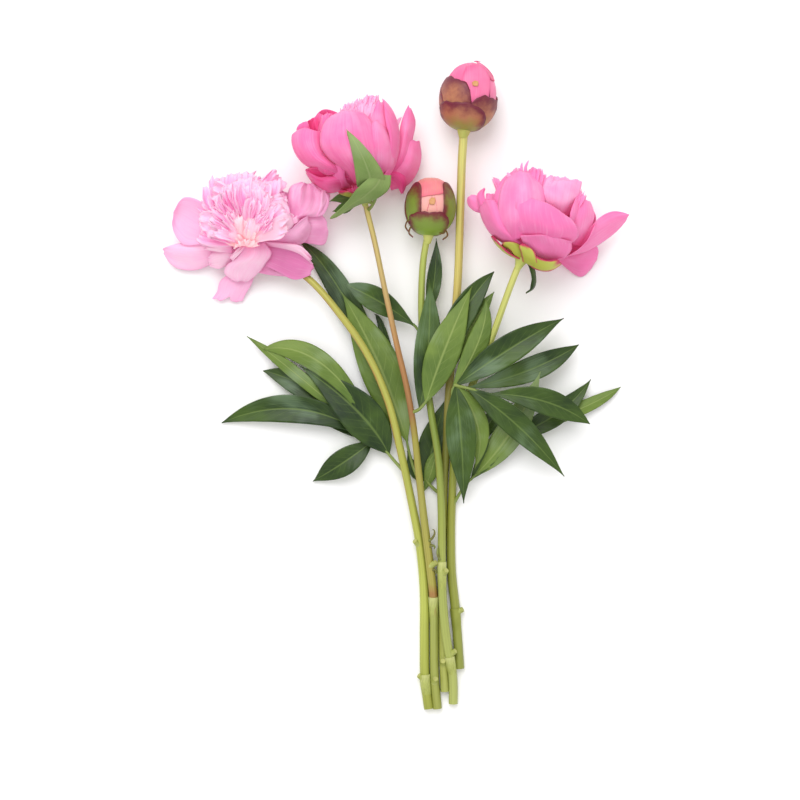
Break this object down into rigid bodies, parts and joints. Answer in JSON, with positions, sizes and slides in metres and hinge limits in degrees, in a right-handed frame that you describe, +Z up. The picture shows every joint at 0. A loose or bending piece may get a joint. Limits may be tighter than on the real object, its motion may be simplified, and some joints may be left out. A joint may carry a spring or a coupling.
{
  "type": "peony bouquet",
  "caption": "Loose bouquet of cut peony stems lying flat, with an open bloom, half-open blooms, closed buds and divided leaves.",
  "frame": {"origin": "on the table, below the middle of the bouquet as it lies", "axes": "+Z up from the table, +Y along the stems from the cut ends to the blooms, +X to the right when seen from above"},
  "size_m": [0.3273, 0.448, 0.0757],
  "materials": {
    "green_stem": "satin, yellow-green",
    "tan_stem": "satin, olive to tan",
    "leaf": "dark waxy green above, paler grey-green below",
    "pale_petal": "soft pale pink, thin and translucent",
    "deep_petal": "soft deep pink, thin and translucent",
    "pink_petal": "soft pink, thin and translucent",
    "bud_petal": "soft salmon pink"
  },
  "bodies": {
    "root": {"stem_pale_bloom": "green_stem", "stem_deep_bloom": "tan_stem", "stem_green_bud": "green_stem", "stem_tall_bud": "tan_stem", "stem_half_bloom": "green_stem", "leaf_left_fan": "leaf", "leaf_long_left": "leaf", "leaf_upper_mid": "leaf", "leaf_mid_fan": "leaf", "leaf_right_fan": "leaf", "leaf_low_right": "leaf", "leaf_far_right": "leaf", "leaf_low_centre": "leaf", "leaf_bud_bract": "leaf", "leaf_bloom_bract": "leaf", "pale_bloom": "pale_petal", "deep_bloom": "deep_petal", "half_bloom": "pink_petal", "green_bud": "bud_petal", "tall_bud": "bud_petal"}
  },
  "joints": []
}
